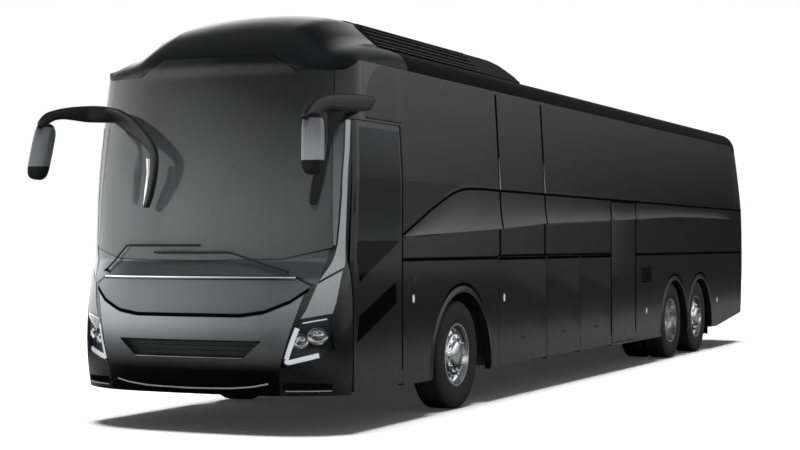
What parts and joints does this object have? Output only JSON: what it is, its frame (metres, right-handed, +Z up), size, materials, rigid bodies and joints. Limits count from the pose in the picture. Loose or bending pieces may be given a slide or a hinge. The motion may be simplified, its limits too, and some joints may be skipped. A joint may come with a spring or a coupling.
{
  "type": "coach bus",
  "caption": "Long three-axle touring coach with hollow cabin, opening doors and luggage flaps, rolling wheels and a steered front axle.",
  "frame": {"origin": "on the ground, on the centre line, midway between the mirrors' front and the tail", "axes": "+X forward, +Y to the coach's left, +Z up"},
  "size_m": [15.33, 2.8058, 3.6503],
  "materials": {
    "chassis": "satin black chassis paint",
    "body_paint": "gloss black with clear coat",
    "grille_paint": "gloss charcoal",
    "lamp": "clear lens",
    "tail_lamp": "red lens",
    "screen_glass": "lightly tinted",
    "tinted_glass": "dark tinted",
    "trim": "black plastic",
    "engine": "plain block",
    "upholstery": "dark cloth",
    "tyre": "black rubber",
    "rim": "polished alloy"
  },
  "bodies": {
    "coach_body": {"underframe": "chassis", "tow_left": "chassis", "tow_right": "chassis", "cabin_floor": "chassis", "luggage_bay": "chassis", "step_well": "chassis", "left_side": "body_paint", "right_side": "body_paint", "roof": "body_paint", "front_cap": "body_paint", "front_mask": "body_paint", "grille_panel": "grille_paint", "bumper": "body_paint", "headlamps": "lamp", "windscreen": "screen_glass", "side_glass": "tinted_glass", "rear_wall": "body_paint", "rear_cap": "body_paint", "rear_glass": "tinted_glass", "tail_lamps": "tail_lamp", "roof_pod": "body_paint", "mirrors": "trim", "wipers": "trim", "engine": "engine", "front_axle": "chassis", "drive_axle": "chassis", "tag_axle": "chassis", "seats": "upholstery", "cockpit": "trim"},
    "left_knuckle": {"knuckle_left": "chassis"},
    "right_knuckle": {"knuckle_right": "chassis"},
    "front_left_wheel": {"tyre_front_left": "tyre", "rim_front_left": "rim"},
    "front_right_wheel": {"tyre_front_right": "tyre", "rim_front_right": "rim"},
    "drive_left_wheels": {"tyres_drive_left": "tyre", "rims_drive_left": "rim"},
    "drive_right_wheels": {"tyres_drive_right": "tyre", "rims_drive_right": "rim"},
    "tag_left_wheel": {"tyre_tag_left": "tyre", "rim_tag_left": "rim"},
    "tag_right_wheel": {"tyre_tag_right": "tyre", "rim_tag_right": "rim"},
    "door_arms": {"door_column": "chassis"},
    "front_door": {"entrance_door": "body_paint", "entrance_glass": "tinted_glass"},
    "mid_door": {"middle_door": "body_paint"},
    "rear_lid": {"engine_lid": "body_paint"},
    "left_flap_1": {"flap_left_1": "body_paint"},
    "left_flap_2": {"flap_left_2": "body_paint"},
    "left_flap_3": {"flap_left_3": "body_paint"},
    "right_flap_1": {"flap_right_1": "body_paint"},
    "right_flap_2": {"flap_right_2": "body_paint"},
    "right_flap_3": {"flap_right_3": "body_paint"}
  },
  "joints": [
    {"name": "steer_left", "type": "hinge", "parent": "coach_body", "child": "left_knuckle", "pos_m": [4.485, 0.985, 0.515], "axis": [0, 0, 1], "range_deg": [-42, 42]},
    {"name": "steer_right", "type": "hinge", "parent": "coach_body", "child": "right_knuckle", "pos_m": [4.485, -0.985, 0.515], "axis": [0, 0, 1], "range_deg": [-42, 42]},
    {"name": "spin_front_left", "type": "hinge", "parent": "left_knuckle", "child": "front_left_wheel", "pos_m": [4.485, 1.1145, 0.515], "axis": [0, 1, 0], "continuous": true},
    {"name": "spin_drive_left", "type": "hinge", "parent": "coach_body", "child": "drive_left_wheels", "pos_m": [-3.215, 1.1145, 0.515], "axis": [0, 1, 0], "continuous": true},
    {"name": "spin_tag_left", "type": "hinge", "parent": "coach_body", "child": "tag_left_wheel", "pos_m": [-4.615, 1.1145, 0.515], "axis": [0, 1, 0], "continuous": true},
    {"name": "spin_front_right", "type": "hinge", "parent": "right_knuckle", "child": "front_right_wheel", "pos_m": [4.485, -1.1145, 0.515], "axis": [0, 1, 0], "continuous": true},
    {"name": "spin_drive_right", "type": "hinge", "parent": "coach_body", "child": "drive_right_wheels", "pos_m": [-3.215, -1.1145, 0.515], "axis": [0, 1, 0], "continuous": true},
    {"name": "spin_tag_right", "type": "hinge", "parent": "coach_body", "child": "tag_right_wheel", "pos_m": [-4.615, -1.1145, 0.515], "axis": [0, 1, 0], "continuous": true},
    {"name": "door_arm_swing", "type": "hinge", "parent": "coach_body", "child": "door_arms", "pos_m": [6.755, 1.15, 0.7], "axis": [0, 0, -1], "range_deg": [0, 92]},
    {"name": "front_door_follow", "type": "hinge", "parent": "door_arms", "child": "front_door", "pos_m": [6.105, 1.15, 0.7], "axis": [0, 0, 1], "range_deg": [0, 92]},
    {"name": "mid_door_swing", "type": "hinge", "parent": "coach_body", "child": "mid_door", "pos_m": [-0.319, 1.28, 1.2], "axis": [0, 0, -1], "range_deg": [0, 85]},
    {"name": "flap_left_1_lift", "type": "hinge", "parent": "coach_body", "child": "left_flap_1", "pos_m": [2.808, 1.28, 1.41], "axis": [1, 0, 0], "range_deg": [0, 88]},
    {"name": "flap_left_2_lift", "type": "hinge", "parent": "coach_body", "child": "left_flap_2", "pos_m": [1.502, 1.28, 1.41], "axis": [1, 0, 0], "range_deg": [0, 88]},
    {"name": "flap_left_3_lift", "type": "hinge", "parent": "coach_body", "child": "left_flap_3", "pos_m": [0.3165, 1.28, 1.41], "axis": [1, 0, 0], "range_deg": [0, 88]},
    {"name": "flap_right_1_lift", "type": "hinge", "parent": "coach_body", "child": "right_flap_1", "pos_m": [2.808, -1.28, 1.41], "axis": [-1, 0, 0], "range_deg": [0, 88]},
    {"name": "flap_right_2_lift", "type": "hinge", "parent": "coach_body", "child": "right_flap_2", "pos_m": [1.502, -1.28, 1.41], "axis": [-1, 0, 0], "range_deg": [0, 88]},
    {"name": "flap_right_3_lift", "type": "hinge", "parent": "coach_body", "child": "right_flap_3", "pos_m": [0.3165, -1.28, 1.41], "axis": [-1, 0, 0], "range_deg": [0, 88]},
    {"name": "engine_lid_lift", "type": "hinge", "parent": "coach_body", "child": "rear_lid", "pos_m": [-7.63515, 0, 1.706], "axis": [0, 1, 0], "range_deg": [0, 80]}
  ],
  "couplings": [
    {"joint": "steer_right", "follows": "steer_left", "ratio": 1},
    {"joint": "front_door_follow", "follows": "door_arm_swing", "ratio": 1}
  ]
}
